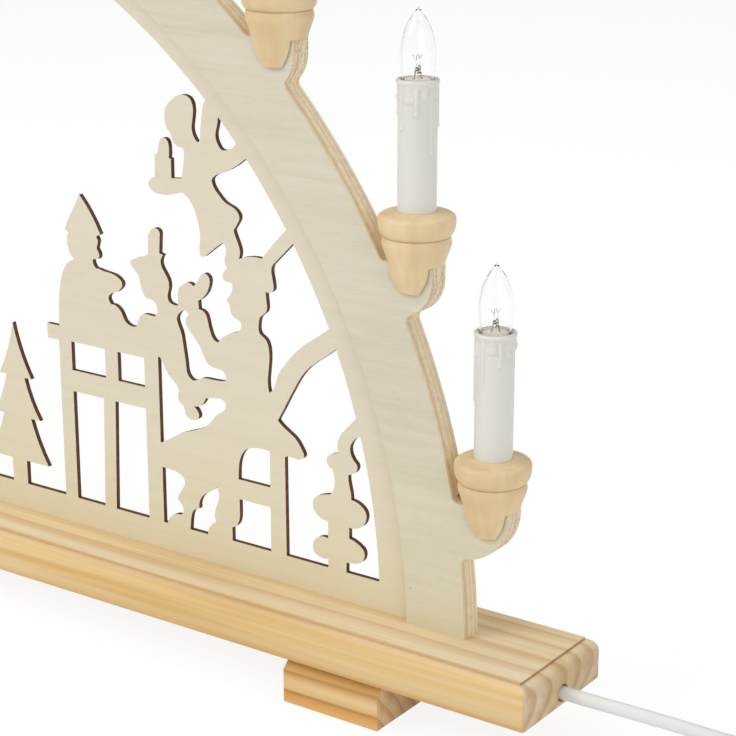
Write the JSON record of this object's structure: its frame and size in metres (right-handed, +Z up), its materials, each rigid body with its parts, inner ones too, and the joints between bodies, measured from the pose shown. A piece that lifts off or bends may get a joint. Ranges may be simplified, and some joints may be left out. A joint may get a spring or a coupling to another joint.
{
  "type": "candle arch",
  "caption": "Wooden candle arch with electric candles along its curved rim and a fretwork scene panel, on a footed board with a mains cord.",
  "frame": {"origin": "on the table, under the middle of the board", "axes": "+X along the board towards the end where the cord leaves, +Z up, the front faces -Y"},
  "size_m": [0.9922, 0.0765, 0.4122],
  "materials": {
    "pine": "waxed, straight grain",
    "plywood": "sanded, unfinished",
    "panel_plywood": "sanded, cut edges burnt brown",
    "turned_wood": "turned, smooth",
    "candle_plastic": "satin, off white",
    "bulb_glass": "clear",
    "bulb_cap_metal": "plain",
    "socket_plastic": "matt cream",
    "wire_insulation": "matt",
    "cord_pvc": "satin, pale grey",
    "tie_plastic": "matt",
    "pin_metal": "bright nickel",
    "zinc_steel": "zinc plated",
    "brown_plastic": "matt"
  },
  "bodies": {
    "arch": {"base_board": "pine", "foot_left": "pine", "foot_right": "pine", "pocket_cover": "brown_plastic", "front_arch": "plywood", "rear_arch": "plywood", "scene_panel": "panel_plywood", "cord_clamp": "brown_plastic", "foot_screws": "zinc_steel", "cover_screws": "zinc_steel", "clamp_screws": "zinc_steel", "lamp_sockets": "socket_plastic", "feed_wire": "wire_insulation", "lamp_wires": "wire_insulation", "mains_cable": "cord_pvc", "cable_coil": "cord_pvc", "plug_lead": "cord_pvc", "coil_tie": "tie_plastic", "plug_body": "cord_pvc", "plug_pins": "pin_metal", "candle_cup_1": "turned_wood", "candle_sleeve_1": "candle_plastic", "candle_cup_2": "turned_wood", "candle_sleeve_2": "candle_plastic", "candle_cup_3": "turned_wood", "candle_sleeve_3": "candle_plastic", "candle_cup_4": "turned_wood", "candle_sleeve_4": "candle_plastic", "candle_cup_5": "turned_wood", "candle_sleeve_5": "candle_plastic", "candle_cup_6": "turned_wood", "candle_sleeve_6": "candle_plastic", "candle_cup_7": "turned_wood", "candle_sleeve_7": "candle_plastic", "candle_cup_8": "turned_wood", "candle_sleeve_8": "candle_plastic", "candle_cup_9": "turned_wood", "candle_sleeve_9": "candle_plastic", "candle_cup_10": "turned_wood", "candle_sleeve_10": "candle_plastic"},
    "bulb_1": {"bulb_glass_1": "bulb_glass", "bulb_cap_1": "bulb_cap_metal"},
    "bulb_2": {"bulb_glass_2": "bulb_glass", "bulb_cap_2": "bulb_cap_metal"},
    "bulb_3": {"bulb_glass_3": "bulb_glass", "bulb_cap_3": "bulb_cap_metal"},
    "bulb_4": {"bulb_glass_4": "bulb_glass", "bulb_cap_4": "bulb_cap_metal"},
    "bulb_5": {"bulb_glass_5": "bulb_glass", "bulb_cap_5": "bulb_cap_metal"},
    "bulb_6": {"bulb_glass_6": "bulb_glass", "bulb_cap_6": "bulb_cap_metal"},
    "bulb_7": {"bulb_glass_7": "bulb_glass", "bulb_cap_7": "bulb_cap_metal"},
    "bulb_8": {"bulb_glass_8": "bulb_glass", "bulb_cap_8": "bulb_cap_metal"},
    "bulb_9": {"bulb_glass_9": "bulb_glass", "bulb_cap_9": "bulb_cap_metal"},
    "bulb_10": {"bulb_glass_10": "bulb_glass", "bulb_cap_10": "bulb_cap_metal"}
  },
  "joints": [
    {"name": "bulb_1_unscrew", "type": "hinge", "parent": "arch", "child": "bulb_1", "pos_m": [0.29986, 0, 0.14917], "axis": [0, 0, 1], "range_deg": [0, 1440]},
    {"name": "bulb_2_unscrew", "type": "hinge", "parent": "arch", "child": "bulb_2", "pos_m": [0.26709, 0, 0.23319], "axis": [0, 0, 1], "range_deg": [0, 1440]},
    {"name": "bulb_3_unscrew", "type": "hinge", "parent": "arch", "child": "bulb_3", "pos_m": [0.20841, 0, 0.30684], "axis": [0, 0, 1], "range_deg": [0, 1440]},
    {"name": "bulb_4_unscrew", "type": "hinge", "parent": "arch", "child": "bulb_4", "pos_m": [0.13291, 0, 0.358], "axis": [0, 0, 1], "range_deg": [0, 1440]},
    {"name": "bulb_5_unscrew", "type": "hinge", "parent": "arch", "child": "bulb_5", "pos_m": [0.04547, 0, 0.38482], "axis": [0, 0, 1], "range_deg": [0, 1440]},
    {"name": "bulb_6_unscrew", "type": "hinge", "parent": "arch", "child": "bulb_6", "pos_m": [-0.04547, 0, 0.38482], "axis": [0, 0, 1], "range_deg": [0, 1440]},
    {"name": "bulb_7_unscrew", "type": "hinge", "parent": "arch", "child": "bulb_7", "pos_m": [-0.13291, 0, 0.358], "axis": [0, 0, 1], "range_deg": [0, 1440]},
    {"name": "bulb_8_unscrew", "type": "hinge", "parent": "arch", "child": "bulb_8", "pos_m": [-0.20841, 0, 0.30684], "axis": [0, 0, 1], "range_deg": [0, 1440]},
    {"name": "bulb_9_unscrew", "type": "hinge", "parent": "arch", "child": "bulb_9", "pos_m": [-0.26709, 0, 0.23319], "axis": [0, 0, 1], "range_deg": [0, 1440]},
    {"name": "bulb_10_unscrew", "type": "hinge", "parent": "arch", "child": "bulb_10", "pos_m": [-0.29986, 0, 0.14917], "axis": [0, 0, 1], "range_deg": [0, 1440]}
  ]
}
